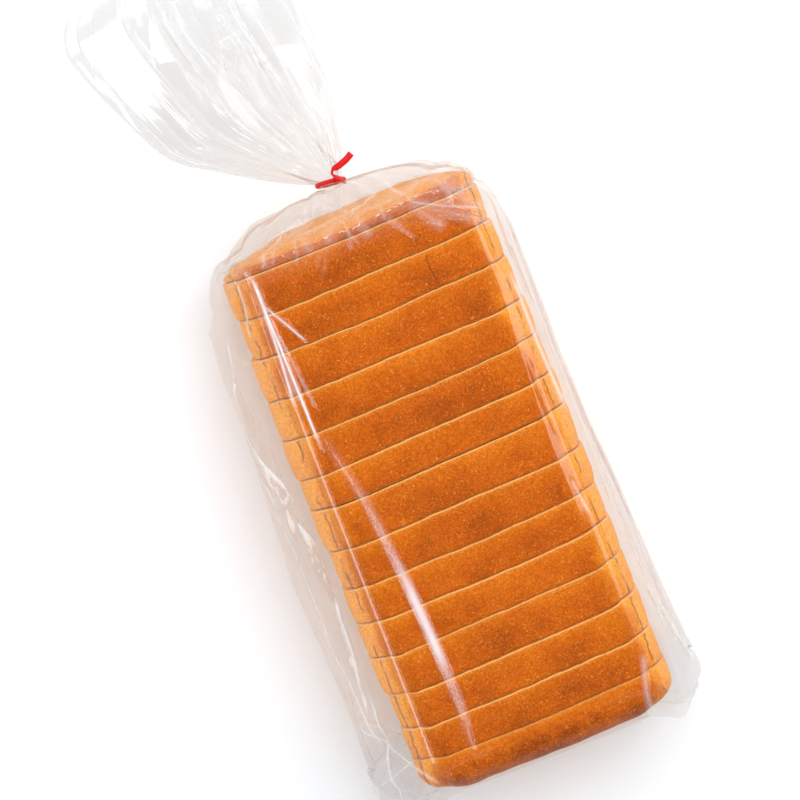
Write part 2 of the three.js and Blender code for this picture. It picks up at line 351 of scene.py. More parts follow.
def browned_crust():
    """Baked wheat crust: dry and dull, browned most where the heat reached it. It looks warm brown on top
    and golden down the walls, mottled, with pale flecks of flour, and torn along both sides. Its tears, its
    pits and the cut at each slice's near edge are darkened with painted shade."""
    material, tree = new_material("browned_bread_crust")
    place = add(tree, "TexCoord").outputs["Object"]
    x, _, z = add(tree, "SeparateXYZ", {0: place}).outputs
    across = add(tree, "Attribute", attribute_name="across").outputs["Fac"]
    end_crust = add(tree, "Attribute", attribute_name="end_crust").outputs["Fac"]
    side = add(tree, "Math", {0: x, 1: 1.2 * MM})
    side = add(tree, "Math", {0: side}, operation="ABSOLUTE")
    height = add(tree, "MapRange", {0: z, 1: 88 * MM, 2: 106 * MM}, **SOFT)
    baked_and_lit = how_baked_and_lit(tree, place, side, height, across, end_crust)
    torn = torn_crust(tree, place, side, height)

    spots = add(tree, "TexNoise", {"Vector": place, "Scale": 1 / SPOT, "Detail": 4.0, "Roughness": 0.62})
    grain = add(tree, "TexNoise", {"Vector": place, "Scale": 1 / GRAIN, "Detail": 2.0, "Roughness": 0.6})
    fibres = add(tree, "TexNoise", {"Vector": place, "Scale": 1 / FIBRE, "Detail": 2.0, "Distortion": 3.2})
    pits = add(tree, "TexNoise", {"Vector": place, "Scale": 1 / PIT, "Detail": 1.0})
    lumps = add(tree, "TexNoise", {"Vector": place, "Scale": 1 / LUMP, "Detail": 2.0})

    # the edges that the knife left: pale at a slice's far edge, and at its near edge a dark painted shade, as
    # falls in the narrow cut between slices
    sliced = add(tree, "MapRange", {0: end_crust, 1: 0.0, 2: 0.1, 3: 1.0, 4: 0.0}, **SOFT)
    far_edge = add(tree, "MapRange", {0: across, 1: 0.86, 2: 1.0, 3: 0.0, 4: 0.4}, **SOFT)
    far_edge = add(tree, "Math", {0: far_edge, 1: sliced}, operation="MULTIPLY")
    painted_cut_shade = add(tree, "MapRange", {0: across, 1: 0.0, 2: 0.04, 3: 0.8, 4: 0.0}, **SOFT)
    painted_cut_shade = add(tree, "Math", {0: painted_cut_shade, 1: sliced}, operation="MULTIPLY")

    colour = add(tree, "ValToRGB", {0: baked_and_lit}, stops=((0.0, "#FAA428"), (0.3, "#ED8D1E"), (0.6, "#D8720C"),
                                                     (0.8, "#C86004"), (1.0, "#A04804"))).outputs[0]
    for amount, code in ((far_edge, "#EFA550"), (painted_cut_shade, "#8A3E08")):
        colour = add(tree, "Mix", {0: amount, 6: colour, 7: linear(code)}, data_type="RGBA").outputs[2]
    mottle = add(tree, "MapRange", {0: spots, 1: 0.34, 2: 0.66, 3: 0.78, 4: 1.16}, **SOFT)
    colour = add(tree, "Mix", {0: 1.0, 6: colour, 7: mottle}, data_type="RGBA",
                 blend_type="MULTIPLY").outputs[2]
    # painted shade: the crust's pits are drawn only as small dark specks
    painted_pit_shade = add(tree, "MapRange", {0: pits, 1: 0.64, 2: 0.74, 3: 0.0, 4: 0.35}, **SOFT)
    fleck = add(tree, "MapRange", {0: fibres, 1: 0.6, 2: 0.68, 3: 0.0, 4: 0.55}, **SOFT)
    # painted shade: the tear and the crack are drawn dark, as shade falls in them
    painted_tear_shade = add(tree, "Math", {0: torn, 1: 0.64}, operation="MULTIPLY")
    for amount, code in ((painted_pit_shade, "#96420C"), (fleck, "#F2A850"), (painted_tear_shade, "#8A4410")):
        colour = add(tree, "Mix", {0: amount, 6: colour, 7: linear(code)}, data_type="RGBA").outputs[2]

    relief = add(tree, "Math", {0: spots, 1: grain})
    relief = add(tree, "Math", {0: lumps, 1: 2.0, 2: relief}, operation="MULTIPLY_ADD")
    relief = add(tree, "Math", {0: torn, 1: -2.2, 2: relief}, operation="MULTIPLY_ADD")
    bump = add(tree, "Bump", {"Height": relief, "Strength": 0.6, "Distance": 0.4 * MM})
    shader = add(tree, "BsdfPrincipled", {"Base Color": colour, "Roughness": 0.66,
                                          "Specular IOR Level": 0.06, "Normal": bump})
    add(tree, "OutputMaterial", {"Surface": shader})
    return material


def open_crumb():
    """Soft crumb where the knife went: matt and full of holes about 2 mm wide. Its warm gold is painted
    shade and light off the crust, as crumb looks deep in a narrow cut, and its holes are painted darker."""
    material, tree = new_material("open_bread_crumb")
    place = add(tree, "TexCoord").outputs["Object"]
    holes = add(tree, "TexVoronoi", {"Vector": place, "Scale": 1 / (1.92 * MM), "Randomness": 1.0})
    cloud = add(tree, "TexNoise", {"Vector": place, "Scale": 1 / (3.33 * MM), "Detail": 4.0})
    depth = add(tree, "Math", {0: holes, 1: cloud})
    # painted shade: the crumb is drawn gold for the cut's shade and the light off the crust, darker in its
    # holes
    colour = add(tree, "ValToRGB", {0: depth}, stops=((0.25, "#B4661E"), (0.5, "#E09440"), (0.85, "#F4B868")))
    bump = add(tree, "Bump", {"Height": depth, "Strength": 0.8, "Distance": 0.8 * MM})
    shader = add(tree, "BsdfPrincipled", {"Base Color": colour, "Roughness": 0.85,
                                          "Specular IOR Level": 0.05, "Normal": bump})
    add(tree, "OutputMaterial", {"Surface": shader})
    return material


crust = browned_crust()
crumb = open_crumb()
last = len(SLICE_THICKNESS) - 1
for index in range(last + 1):
    heel = "near" if index == 0 else "far" if index == last else None
    name = f"heel_{heel}" if heel else f"slice_{index + 1:02d}"
    near_round = NEAR_HEEL_ROUND if heel == "near" else CUT_ROUND_NEAR
    far_round = FAR_HEEL_ROUND if heel == "far" else CUT_ROUND_FAR
    piece = loaf_slice(name, index, near_round, far_round, heel)
    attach(piece, "root")
    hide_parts("bread_bag")

# ---------------------------------------------------------------------------------------------
# The bag: a tube of clear polythene film 0.03 mm thick, sealed flat across the near end. It is
# drawn tight over the top of the loaf, hangs loose beside it and is gathered to the neck, so it
# is lofted ring by ring and then creased: a crease is a long flat-sided ridge, as stiff film makes.
# ---------------------------------------------------------------------------------------------
NECK = Vector((-1.3, 136.5, 62))
NECK_HALF = (5.6, 4.8)
AROUND = 480
WALL = 61.4
TOP = bag_high[2] / MM
UPPER = TOP * 0.8
NEAR_START = -104
SHOULDER_SHARE = 84
SHOULDER_START = 103
SHOULDER_DEPTH = 33.5
SEAM_HEIGHT = 30
# how far the film hangs off each side, at places along the loaf: y, mm
HANG_LEFT = ((-110, 18.4), (-89, 17.4), (-53, 17.7), (-24, 18.3), (8, 17.2), (44, 15.6), (78, 15.2),
             (95, 14.2), (103, 9.5), (112, 4.0))
HANG_RIGHT = ((-104, 11.5), (-80, 10.0), (-47, 8.6), (-15, 7.0), (20, 6.2), (60, 5.4), (92, 5.6),
              (112, 2.0))
# the flat seam across the near end with its two crumpled ears: x, y
SEAM_LINE = ((-81.5, -112), (-82.4, -125), (-77, -139), (-68, -136), (-57, -131.5), (-20, -129),
             (40, -129.5), (56, -132.5), (64.2, -136.5), (70.3, -133), (75, -123.5), (73, -113))
# the flat facets pulled along both shoulders: y, the crest off the middle, tilt in degrees, width
LEFT_FACET = ((-116, 31.6, 19.4, 0.6), (-109, 31.0, 19.0, 2.4), (-92, 28.6, 19.0, 4.4),
              (-64, 28.4, 19.0, 6.2), (-34, 30.4, 18.9, 5.6), (4, 34.6, 18.8, 4.6),
              (36, 41.6, 18.6, 4.2), (46, 44.0, 18.6, 0.6))
RIGHT_FACET = ((-36, 47.0, 18.8, 0.8), (-30, 45.8, 18.8, 4.2), (0, 44.8, 18.8, 4.8), (23, 45.8, 18.8, 4.8),
               (54, 47.4, 18.7, 4.8), (74, 49.2, 18.6, 4.2), (86, 50.2, 18.6, 0.8))
# a painted highlight: how white the left facet is drawn along its middle: y, white
LEFT_PAINTED_STREAK = ((-114, 0), (-100, 0.12), (-78, 0.24), (-67, 0.66), (-42, 0.66), (-26, 0.28), (0, 0.16),
               (26, 0.08), (40, 0))
NEAR_RINGS = 140
BODY_RINGS = 190
SHOULDER_RINGS = 165
# the film keeps this far from the bread, whose form under it has far edges rounded this much, and it
# ends this far above the floor, in mm
FILM_ROOM = 1.5 * MM
FORM_ROUND = 1.2 * MM
FILM_FOOT = 0.15


def smooth_path(points, count, closed=False):
    """count points spread evenly along a smooth curve through the given ones."""
    p = numpy.array(points, dtype=float)
    if closed:
        p = numpy.vstack([p[-1:], p, p[:2]])
    else:
        p = numpy.vstack([2 * p[:1] - p[1:2], p, 2 * p[-1:] - p[-2:-1]])
    t = numpy.linspace(0, 1, 12, endpoint=False)[:, None]
    spans = []
    for a, b, c, d in zip(p, p[1:], p[2:], p[3:]):
        spans.append(0.5 * (2 * b + (c - a) * t + (2 * a - 5 * b + 4 * c - d) * t ** 2
                            + (3 * b - a - 3 * c + d) * t ** 3))
    fine = numpy.vstack(spans + [p[-2:-1]])
    length = numpy.concatenate([[0], numpy.cumsum(numpy.linalg.norm(numpy.diff(fine, axis=0), axis=1))])
    at = numpy.linspace(0, length[-1], count, endpoint=not closed)
    return numpy.stack([numpy.interp(at, length, fine[:, i]) for i in range(fine.shape[1])], axis=1)


def film_section(left, right):
    """The film across the loaf, from the middle of the base round by the right side, in mm."""
    over_right = ((40, 0.2), (54, 0.6), (60.5, 6), (WALL + 0.75 * right, 24), (WALL + right, 45),
                  (WALL + 0.55 * right, 68), (WALL, 88), (60.2, 99), (55.5, TOP - 6.5), (50.5, TOP - 1.2),
                  (46.5, TOP - 0.05), (42, TOP + 0.1), (24, TOP + 0.5))
    over_left = ((24, TOP + 0.5), (42, TOP + 0.1), (46.5, TOP - 0.05), (50.5, TOP - 1.2), (56, TOP - 7),
                 (60.6, 98), (WALL + 0.4 * left, 80), (WALL + left, 52), (WALL + 0.92 * left, 30),
                 (WALL + 0.3 * left, 8), (54, 0.6), (40, 0.2))
    return [(0, 0.2), *over_right, (0, TOP + 0.6), *((-x, z) for x, z in over_left)]


def hang(side, y):
    """How far the film hangs off one side at y."""
    return numpy.interp(y, *zip(*side))


def pull_facet(x, z, y, table, side, ease=12):
    """Raises the film to a crest with a flat facet falling to one side of it, over a shoulder."""
    ys, crests, tilts, widths = zip(*table)
    crest = numpy.interp(y, ys, crests)
    width = numpy.interp(y, ys, widths)
    slope = math.tan(math.radians(numpy.interp(y, ys, tilts)))
    fade = numpy.clip(min(y - ys[0], ys[-1] - y) / 8, 0, 1)
    top = z > UPPER
    u = x * side
    order = numpy.argsort(u[top])
    base = numpy.interp([crest, crest + width], u[top][order], z[top][order])
    lift = max(0.35, width * slope - (base[0] - base[1])) * fade
    past = u - crest
    fall = numpy.where(past < width, past * slope, width * slope + (past - width) * 1.2)
    facet = numpy.where(past >= 0, numpy.maximum(base[0] + lift - fall - z, 0), 0)
    back = numpy.where(past < 0, lift * numpy.clip(1 + past / ease, 0, None) ** 1.5, 0)
    return numpy.where(top, facet * (fade > 0) + back, 0)


def body_ring(y):
    """A ring of the straight body, its points closer together over the shoulders of the loaf."""
    fine = smooth_path(film_section(hang(HANG_LEFT, y), hang(HANG_RIGHT, y)), 4 * AROUND, closed=True)
    closeness = numpy.where((fine[:, 1] > UPPER) & (abs(fine[:, 0]) > 24), 2.4, 1)
    reached = numpy.cumsum(closeness) - closeness[0]
    at = numpy.linspace(0, reached[-1] + 1, AROUND, endpoint=False)
    x, z = (numpy.interp(at, reached, fine[:, i]) for i in (0, 1))
    lift = pull_facet(x, z, y, LEFT_FACET, -1) + pull_facet(x, z, y, RIGHT_FACET, 1, ease=9)
    lift = (numpy.roll(lift, 1) + 2 * lift + numpy.roll(lift, -1)) / 4
    z = z + lift
    return numpy.stack([x, y - LEAN * (z - TOP / 2), z], axis=1)


def near_ring(turn):
    """A ring of the near end, drawn together from the body's section at 0 to the flat seam at 1."""
    x, y, z = body_ring(NEAR_START).T
    close = 1 - math.cos(turn * math.pi / 2) ** 0.42
    out = math.sin(turn * math.pi / 2)
    share = (x - x.min()) / (x.max() - x.min())
    seam_at = smooth_path(SEAM_LINE, 200)
    seam_x, seam_y = (numpy.interp(share, numpy.linspace(0, 1, 200), seam_at[:, i]) for i in (0, 1))
    return numpy.stack([
        x + (seam_x - x) * close,
        y + (seam_y - y) * out,
        z + (SEAM_HEIGHT - z) * close,
    ], axis=1)


def shoulder_ring(turn):
    """A ring over the far end, drawn in from the body's section at 0 to the neck at 1."""
    x, _, z = body_ring(SHOULDER_START).T
    angle = numpy.arctan2((z - TOP / 2) / (TOP / 2), x / WALL)
    blunt = numpy.interp(z, (0, 45), (0.42, 0.85))
    close = 1 - math.cos(turn * math.pi / 2) ** blunt
    neck_x = NECK.x + NECK_HALF[0] * numpy.cos(angle)
    neck_z = NECK.z + NECK_HALF[1] * numpy.sin(angle)
    z_now = z + (neck_z - z) * close
    y = SHOULDER_START + SHOULDER_DEPTH * math.sin(turn * math.pi / 2)
    return numpy.stack([x + (neck_x - x) * close, y - (1 - close) * LEAN * (z_now - TOP / 2), z_now], axis=1)


def film_rings():
    """The rings of the near end, the body and the shoulder, in mm: each starts where the last ends."""
    near = [near_ring(t) for t in numpy.linspace(1, 0, NEAR_RINGS)]
    body = [body_ring(y) for y in numpy.linspace(NEAR_START, SHOULDER_SHARE, BODY_RINGS)]
    shoulder = [body_ring(y) for y in numpy.linspace(SHOULDER_SHARE, SHOULDER_START, 20, endpoint=False)]
    shoulder += [shoulder_ring(t) for t in numpy.linspace(0, 1, SHOULDER_RINGS)]
    shoulder += [shoulder[-1] + (0, step, 0) for step in (1, 2, 3)]
    return numpy.array(near[:-1] + body[:-1] + shoulder), (0, len(near) - 1, len(near) + len(body) - 2)


def loaf_form(room):
    """The whole loaf as one smooth closed form, larger by the room that the film leaves round it."""
    length = sum(SLICE_THICKNESS) * MM
    bm = slice_blank(length, NEAR_HEEL_ROUND, FORM_ROUND)
    for v in bm.verts:
        near, far = seam(0, 0, v.co.z), far_end_face(v.co.x, v.co.z)
        v.co.y = near + (far - near) * v.co.y / length
        v.co.x = bulged(v.co.x, v.co.y)
    bm.normal_update()
    for v, normal in [(v, v.normal.copy()) for v in bm.verts]:
        v.co += normal * room
    tree = BVHTree.FromBMesh(bm)
    bm.free()
    return tree


def lay_over(grid, form):
    """Moves the points that lie inside a form out to its surface."""
    flat = grid.reshape(-1, 3)
    for i, place in enumerate(flat.tolist()):
        here = Vector(place) * MM
        on, normal, *_ = form.find_nearest(here, 30 * MM)
        if on is not None and (here - on).dot(normal) < 0:
            flat[i] = on / MM


def outwards(grid):
    """The unit normal at each point of a grid of closed rings."""
    along = numpy.gradient(grid, axis=0)
    around = numpy.roll(grid, -1, axis=1) - numpy.roll(grid, 1, axis=1)
    normal = numpy.cross(around, along)
    return normal / numpy.maximum(numpy.linalg.norm(normal, axis=2, keepdims=True), 1e-9)


class Creases:
    """The creases of a piece of film: how far they stand out, and how white the film is along them, partly
    its own whitening at a fold and partly painted highlight.
    """

    def __init__(self, shape):
        self.rise = numpy.zeros(shape)
        self.white = numpy.zeros(shape)

    def ridge(self, first, second, centre, heading, half_length, half_width, height,
              mask=1, white=0.3, crest=1.1):
        """A long flat-sided ridge with pointed ends, over two plane coordinates, heading in degrees. It
        is white to the distance crest off its top line: partly the film whitened at a fold, partly a painted
        highlight."""
        a, b = first - centre[0], second - centre[1]
        turn = math.radians(heading)
        along = abs(a * math.cos(turn) + b * math.sin(turn)) / half_length
        off = abs(b * math.cos(turn) - a * math.sin(turn))
        self.rise += mask * height * numpy.clip(1 - along - off / half_width, 0, None)
        line = numpy.clip(1 - off / crest, 0, None) * numpy.clip((1 - along) * 4, 0, 1)
        self.whiten(mask * white * line)

    def whiten(self, amount):
        """Makes the film at least this white."""
        self.white = numpy.maximum(self.white, amount)


# short sharp folds over the left shoulder, and a few on the right: the centre, heading, half length,
# half width and height, how white the top line is, and how wide that white is
SHOULDER_FOLDS = (
    ((-46.9, 71.5), 91, 43, 3.0, 1.3, 0.9, 0.9),
    ((-48.4, 80), 86.5, 30, 2.2, 1.0, 0.8, 0.9),
    ((-47.8, 80), 89, 30, 4, 0.1, 0.22, 3.2),
    ((-41.4, 86), 119, 13, 2.6, 1.0, 0.6, 0.9),
    ((-44, 66), 96, 20, 2.4, 0.7, 0.3, 0.9),
    ((-56, 98), 82, 13, 3, 1.2, 0.4, 0.9),
    ((56.5, 40), 91, 34, 2.6, 0.8, 0.5, 1.6),
    ((49, -28), 97, 9, 2.2, 0.5, 0.35, 1.2),
    ((46, -112), 75, 13, 3.4, 1.0, 0.3, 2.0),
)
# long loose folds that stand out along both sides: the same, without the last
SIDE_FOLDS = (
    ((-72, 76), 75, 15, 3.4, 1.8, 0.8),
    ((-72.4, 20), 99, 38, 3.6, 2.2, 0.8),
    ((-69, -58), 87, 30, 3.6, 2.2, 0.8),
    ((-69, -98), 84, 24, 3.4, 2.0, 0.7),
    ((-76, -10), 92, 46, 3.0, 1.4, 0.45),
    ((-74, -70), 95, 34, 3.0, 1.4, 0.5),
    ((64.4, -50), 90, 54, 3.0, 1.2, 0.55),
    ((67.4, -22), 92, 44, 2.6, 1.0, 0.4),
    ((66, 60), 91, 44, 2.6, 1.0, 0.5),
    ((69, -80), 86, 30, 3.0, 1.4, 0.5),
)
# points where the film is pinched as it turns down over the far heel, and where their folds run to
FANS = (
    ((25.8, 115), ((57.5, 94), (56, 101), (37, 99.5), (36, 121), (20, 130), (3, 118))),
    ((1.6, 121), ((-13, 111), (6, 107), (-8, 131), (15, 124), (-24, 117))),
    ((-28, 124), ((-42, 111), (-19, 110), (-46, 122), (-14, 129))),
    ((46, 112), ((57, 102), (38, 108), (30, 124), (58, 116))),
)
# loose film hangs off the left side and less off the right: the side, how many folds, how high
LOOSE_FILM = ((1, 18, 3.6), (-1, 10, 2.2))
GATHERS = 44


def placed_folds(made, x, y, z, level):
    """The folds that lie at known places."""
    upper = z > UPPER
    for *fold, white, crest in SHOULDER_FOLDS:
        made.ridge(x, y, *fold, upper, white, crest)
    places, crests, _, widths = zip(*LEFT_FACET)
    facet_middle = numpy.interp(y, places, numpy.array(crests) + numpy.array(widths) / 2)
    # painted highlight: the middle of the left facet is whitened along the streak
    painted_streak = numpy.interp(y, *zip(*LEFT_PAINTED_STREAK)) * numpy.clip(1.2 - abs(x + facet_middle) / 2.6, 0, 1)
    made.whiten(upper * painted_streak)
    outer = numpy.clip((z - 44) / 8, 0, 1) * (abs(x) > 60)
    for centre, heading, length, width, height, white in SIDE_FOLDS:
        made.ridge(x, y, centre, heading, length, width * level, height, outer, white, 2.2 * level)


def loose_folds(made, rng, y, around):
    """Folds of every size in the film that hangs beside the loaf. around is the distance round the film
    from the middle of its top, which is negative on the right side."""
    for side, count, height in LOOSE_FILM:
        for _ in range(count):
            centre = (rng.uniform(-125, 106), side * rng.uniform(76, 160))
            made.ridge(y, around, centre, rng.gauss(0, 7), rng.uniform(30, 80), rng.uniform(7, 15),
                       rng.choice((-0.6, 1, 1)) * rng.uniform(0.35, 1) * height, 1, rng.uniform(0, 0.16))
        for _ in range(count):
            centre = (rng.uniform(-125, 106), side * rng.uniform(74, 150))
            made.ridge(y, around, centre, rng.gauss(0, 40), rng.uniform(8, 22), rng.uniform(2, 5),
                       rng.uniform(0.3, 1) * height * 0.4, 1, rng.uniform(0, 0.3))


def gathered_folds(made, rng, x, y, z):
    """Fans of folds over the far heel, crumpled ears, and gathers that run into the neck."""
    over = z > 40
    for (at_x, at_y), ends in FANS:
        for end_x, end_y in ends:
            half = 0.56 * math.hypot(end_x - at_x, end_y - at_y)
            centre = ((at_x + end_x) / 2, (at_y + end_y) / 2)
            heading = math.degrees(math.atan2(end_y - at_y, end_x - at_x))
            made.ridge(x, y, centre, heading, half, 3.4, 1.5, over, rng.uniform(0.2, 0.45), 1.2)
            made.ridge(x, y, centre, heading, half, 5, 0, over, 0.2, 5)
    for _ in range(46):
        centre = (rng.uniform(-62, 62), rng.uniform(112, 134))
        heading = math.degrees(math.atan2(NECK.y - centre[1], NECK.x - centre[0])) + rng.gauss(0, 20)
        made.ridge(x, y, centre, heading, rng.uniform(8, 22), rng.uniform(3, 8), rng.uniform(0.8, 2.4), 1,
                   rng.uniform(0, 0.3))
    for _ in range(20):
        centre = (rng.choice((-72, 66)) + rng.uniform(-10, 10), rng.uniform(-136, -98))
        made.ridge(x, y, centre, rng.uniform(0, 180), rng.uniform(10, 24), rng.uniform(5, 11),
                   rng.uniform(-2.0, 2.6), 1, rng.uniform(0, 0.45))
    angle = numpy.arctan2(z - NECK.z, x - NECK.x)
    knots = numpy.cumsum([rng.uniform(0.5, 1.5) for _ in range(GATHERS + 1)])
    heights = [rng.uniform(0.4, 1) * (1 if i % 2 else -1) for i in range(GATHERS)]
    gather = numpy.interp((angle / (2 * math.pi)) % 1, (knots - knots[0]) / (knots[-1] - knots[0]),
                          heights + heights[:1])
    near_neck = numpy.clip((y - 110) / 16, 0, 1) * numpy.clip((139 - y) / 8, 0, 1)
    made.rise += gather * near_neck * 1.2


def crease_bag(grid):
    """All the creases of the bag, and how much the film is dimmed at each point: where it is folded, and on
    the right side as painted shade.
    """
    rng = random.Random(11)
    made = Creases(grid.shape[:2])
    x, y, z = numpy.moveaxis(grid, 2, 0)
    spacing = numpy.linalg.norm(numpy.roll(grid, -1, axis=1) - grid, axis=2)
    around = numpy.cumsum(spacing, axis=1)
    around -= around[:, AROUND // 2][:, None]
    level = numpy.clip(abs(outwards(grid)[:, :, 2]), 0.1, 1)
    placed_folds(made, x, y, z, level)
    loose_folds(made, rng, y, around)
    gathered_folds(made, rng, x, y, z)
    # the film is milky where it is crumpled all over, and the loose film on both sides is drawn milky, partly
    # for its many folds and partly as painted light
    shoulder = numpy.clip((y - 102) / 12, 0, 1)
    ears = numpy.clip((abs(x) - 58) / 6, 0, 1) * numpy.clip((-92 - y) / 16, 0, 1)
    crumpled_and_lit_sides = 0.25 * numpy.clip((abs(x) - 63) / 5, 0, 1)
    # painted shade: the film right of the loaf is dimmed to look greyer
    right = 0.7 * numpy.clip((x - 62) / 4, 0, 1)
    made.whiten(numpy.maximum.reduce([0.09 * shoulder, 0.12 * ears, 0.45 * crumpled_and_lit_sides]))
    return made, numpy.maximum.reduce([0.5 * ears, 0.3 * shoulder, right])


def film_piece(name, grid, white, folded):
    """A grid of closed rings as a mesh: a flat grid whose points are moved, its long edges joined."""
    rings, around = grid.shape[:2]
    bm = bmesh.new()
    bmesh.ops.create_grid(bm, x_segments=around, y_segments=rings - 1, size=1)
    white_layer = bm.verts.layers.float.new("white")
    folded_layer = bm.verts.layers.float.new("folded")
    every = numpy.concatenate([grid * MM, white[:, :, None], folded[:, :, None]], axis=2)
    every = numpy.concatenate([every, every[:, :1]], axis=1).reshape(-1, 5)
    for v, values in zip(bm.verts, every.tolist()):
        v.co = values[:3]
        v[white_layer] = values[3]
        v[folded_layer] = values[4]
    bmesh.ops.remove_doubles(bm, verts=bm.verts, dist=0.002 * MM)
    piece = piece_from(bm, name, (film,))
    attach(piece, "root")
    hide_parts("bread_bag")


def clear_polythene():
    """Clear blown polythene film: nearly all light goes through, a little is mirrored and more at a grazing
    angle, and folded layers dim what lies behind them. Creases turn white, partly as film whitens at a fold
    and partly as painted highlight; some white and some dimming elsewhere are painted light and shade."""
    material, tree = new_material("clear_polythene_film")
    place = add(tree, "TexCoord").outputs["Object"]
    # the white attribute: the film's whitening at folds, plus painted highlight and painted light
    crease_white_and_highlight = add(tree, "Attribute", attribute_name="white").outputs["Fac"]
    folded = add(tree, "Attribute", attribute_name="folded").outputs["Fac"]
    waves = add(tree, "TexNoise", {"Vector": place, "Scale": 1 / (6.25 * MM), "Detail": 2.0})
    depth = add(tree, "MapRange", {0: crease_white_and_highlight, 1: 0.0, 2: 0.1, 3: 0.02, 4: 0.4}, **SOFT)
    uneven = add(tree, "Math", {0: waves, 1: depth}, operation="MULTIPLY")
    bump = add(tree, "Bump", {"Height": uneven, "Strength": 1.0, "Distance": 1.2 * MM})
    facing = add(tree, "LayerWeight", {"Blend": 0.5, "Normal": bump}).outputs["Facing"]
    grazing = add(tree, "Math", {0: facing, 1: 6.0}, operation="POWER")
    mirror = add(tree, "MapRange", {0: grazing, 3: 0.07, 4: 0.5})
    white = add(tree, "Math", {0: crease_white_and_highlight, 1: 1.2}, operation="POWER")
    white = add(tree, "Math", {0: white, 1: 0.003}, use_clamp=True)

    # dimmed by folded film, and on the bag's right side by painted shade
    dimmed = add(tree, "Mix", {0: folded, 6: linear("#F9F7F5"), 7: linear("#ECEBEA")}, data_type="RGBA")
    through = add(tree, "BsdfTransparent", {"Color": dimmed.outputs[2]})
    gloss = add(tree, "BsdfGlossy", {"Color": linear("#FFFFFF"), "Roughness": 0.11, "Normal": bump})
    haze = add(tree, "BsdfDiffuse", {"Color": linear("#F4F6FA"), "Roughness": 0.3})
    clear = add(tree, "MixShader", {0: mirror, 1: through, 2: gloss})
    whole = add(tree, "MixShader", {0: white, 1: clear, 2: haze})
    add(tree, "OutputMaterial", {"Surface": whole})
    return material


film = clear_polythene()
bag_grid, starts = film_rings()
creases, folds_and_painted_shade = crease_bag(bag_grid)
bag_grid += outwards(bag_grid) * creases.rise[:, :, None]
lay_over(bag_grid, loaf_form(FILM_ROOM))
bag_grid[:, :, 2] = numpy.maximum(bag_grid[:, :, 2], FILM_FOOT)
ends = [start + 1 for start in starts[1:]] + [len(bag_grid)]
for name, first, past in zip(("film_near_end", "film_body", "film_shoulder"), starts, ends):
    film_piece(name, bag_grid[first:past], creases.white[first:past], folds_and_painted_shade[first:past])

# ---------------------------------------------------------------------------------------------
# The tail: the bag's open end beyond the tie. The gathered film springs apart again into two
# layers of flat, sharp-edged pleats that fan out to the open mouth.
# ---------------------------------------------------------------------------------------------
TAIL_RINGS = 200
TAIL_ACROSS = 230
TAIL_DROOP = 9
MOUTH_WAVE = 5
MOUTH_CREST = -0.25
# how many wide, middling and narrow pleats each layer has, and the share of it that an edge's white takes
PLEATS = (8, 11, 24)
PLEAT_EDGE = 0.013
TAIL_LEFT = ((-5.4, 2.4), (-16, 7.2), (-26.8, 13.1), (-45.8, 25.3), (-62.5, 37.5), (-73.4, 58.4), (-83, 81),
             (-88, 97), (-87, 108), (-82.5, 115.5))
TAIL_RIGHT = ((5.4, 2.4), (8, 8), (13.5, 23), (17, 43), (17.5, 60), (17, 77), (15.5, 97))


def pleats(across, count, rng):
    """Sharp-edged pleats across one layer, from -1 to 1: their height, their edges and their layers."""
    knots = numpy.cumsum([rng.uniform(0.25, 1.75) for _ in range(count + 1)])
    knots = (knots - knots[0]) / (knots[-1] - knots[0]) * 2 - 1
    heights = [0] + [rng.uniform(0.3, 1) * (1 if i % 2 else -1) for i in range(count - 1)] + [0]
    panel = numpy.searchsorted(knots, across).clip(1, count) - 1
    layers = numpy.array([rng.choice((0.1, 0.5, 1)) for _ in range(count)])
    edge = numpy.min([abs(across - knot) + rng.choice((0, 0, 0.01)) for knot in knots], axis=0)
    height = numpy.interp(across, knots, heights)
    return numpy.array([height, numpy.clip(1 - edge / PLEAT_EDGE, 0, None), layers[panel]])


